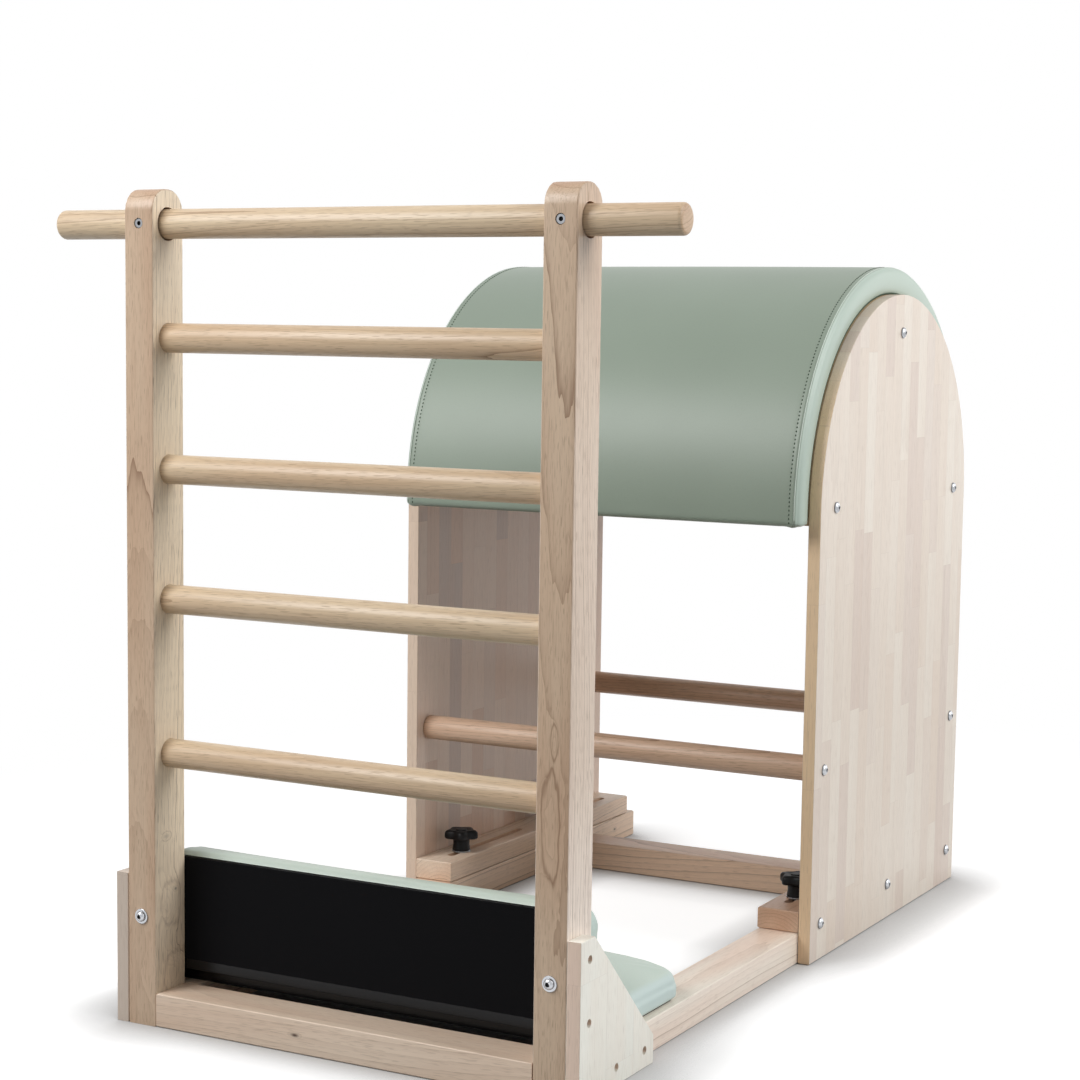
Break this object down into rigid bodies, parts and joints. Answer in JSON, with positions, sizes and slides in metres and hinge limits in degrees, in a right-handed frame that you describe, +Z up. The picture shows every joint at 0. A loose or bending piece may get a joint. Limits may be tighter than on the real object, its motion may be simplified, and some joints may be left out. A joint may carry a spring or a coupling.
{
  "type": "pilates ladder barrel",
  "caption": "Wooden ladder with round rungs joined by a base frame to a padded half barrel that slides on slotted strips and is clamped by star knobs, with a padded foot platform.",
  "frame": {"origin": "on the floor, in the middle of the machine's overall length and width", "axes": "+X across the ladder, towards the side that the picture shows on the right; +Y from the ladder towards the barrel; +Z up"},
  "size_m": [0.902, 1.4112, 1.091],
  "materials": {
    "timber": "satin",
    "rod_timber": "satin",
    "panel_timber": "satin",
    "plywood": "matte",
    "barrel_cover": "satin",
    "pad_cover": "satin",
    "black_cover": "matte",
    "black_plastic": "matte",
    "chrome": "polished",
    "zinc": "satin"
  },
  "bodies": {
    "base": {"post_left": "timber", "post_right": "timber", "gusset_left": "panel_timber", "gusset_right": "panel_timber", "base_rail_left": "timber", "base_rail_right": "timber", "foot_bolt_left": "chrome", "foot_bolt_right": "chrome", "lock_screw_left": "chrome", "lock_screw_right": "chrome", "rail_insert_front_left": "zinc", "rail_insert_front_right": "zinc", "rail_insert_rear_left": "zinc", "rail_insert_rear_right": "zinc", "rung_1": "rod_timber", "rung_2": "rod_timber", "rung_3": "rod_timber", "rung_4": "rod_timber", "top_rail": "rod_timber", "front_sill": "timber", "rear_beam": "timber", "platform_board": "black_cover", "platform_pad": "pad_cover", "kick_board": "black_cover", "kick_pad": "pad_cover"},
    "carriage": {"side_panel_left": "panel_timber", "side_panel_right": "panel_timber", "former_left": "plywood", "former_right": "plywood", "slide_strip_left": "timber", "slide_strip_right": "timber", "panel_bolt_top_left": "chrome", "panel_bolt_top_right": "chrome", "panel_bolt_mid_front_left": "chrome", "panel_bolt_mid_front_right": "chrome", "panel_bolt_mid_rear_left": "chrome", "panel_bolt_mid_rear_right": "chrome", "panel_bolt_dowel_front_left": "chrome", "panel_bolt_dowel_front_right": "chrome", "panel_bolt_dowel_rear_left": "chrome", "panel_bolt_dowel_rear_right": "chrome", "panel_bolt_foot_front_left": "chrome", "panel_bolt_foot_front_right": "chrome", "panel_bolt_foot_middle_left": "chrome", "panel_bolt_foot_middle_right": "chrome", "panel_bolt_foot_rear_left": "chrome", "panel_bolt_foot_rear_right": "chrome", "barrel_shell": "plywood", "barrel_cushion": "barrel_cover", "dowel_front": "rod_timber", "dowel_rear": "rod_timber"},
    "knob_front_left": {"clamp_knob_front_left": "black_plastic", "knob_washer_front_left": "zinc"},
    "knob_front_right": {"clamp_knob_front_right": "black_plastic", "knob_washer_front_right": "zinc"},
    "knob_rear_left": {"clamp_knob_rear_left": "black_plastic", "knob_washer_rear_left": "zinc"},
    "knob_rear_right": {"clamp_knob_rear_right": "black_plastic", "knob_washer_rear_right": "zinc"}
  },
  "joints": [
    {"name": "carriage_slide", "type": "slide", "parent": "base", "child": "carriage", "axis": [0, 1, 0], "range_m": [-0.19, 0.03]},
    {"name": "knob_front_left_turn", "type": "hinge", "parent": "base", "child": "knob_front_left", "pos_m": [-0.291, 0.1053, 0.09], "axis": [0, 0, 1], "range_deg": [0, 540]},
    {"name": "knob_front_right_turn", "type": "hinge", "parent": "base", "child": "knob_front_right", "pos_m": [0.291, 0.1053, 0.09], "axis": [0, 0, 1], "range_deg": [0, 540]},
    {"name": "knob_rear_left_turn", "type": "hinge", "parent": "base", "child": "knob_rear_left", "pos_m": [-0.291, 0.4093, 0.09], "axis": [0, 0, 1], "range_deg": [0, 540]},
    {"name": "knob_rear_right_turn", "type": "hinge", "parent": "base", "child": "knob_rear_right", "pos_m": [0.291, 0.4093, 0.09], "axis": [0, 0, 1], "range_deg": [0, 540]}
  ]
}
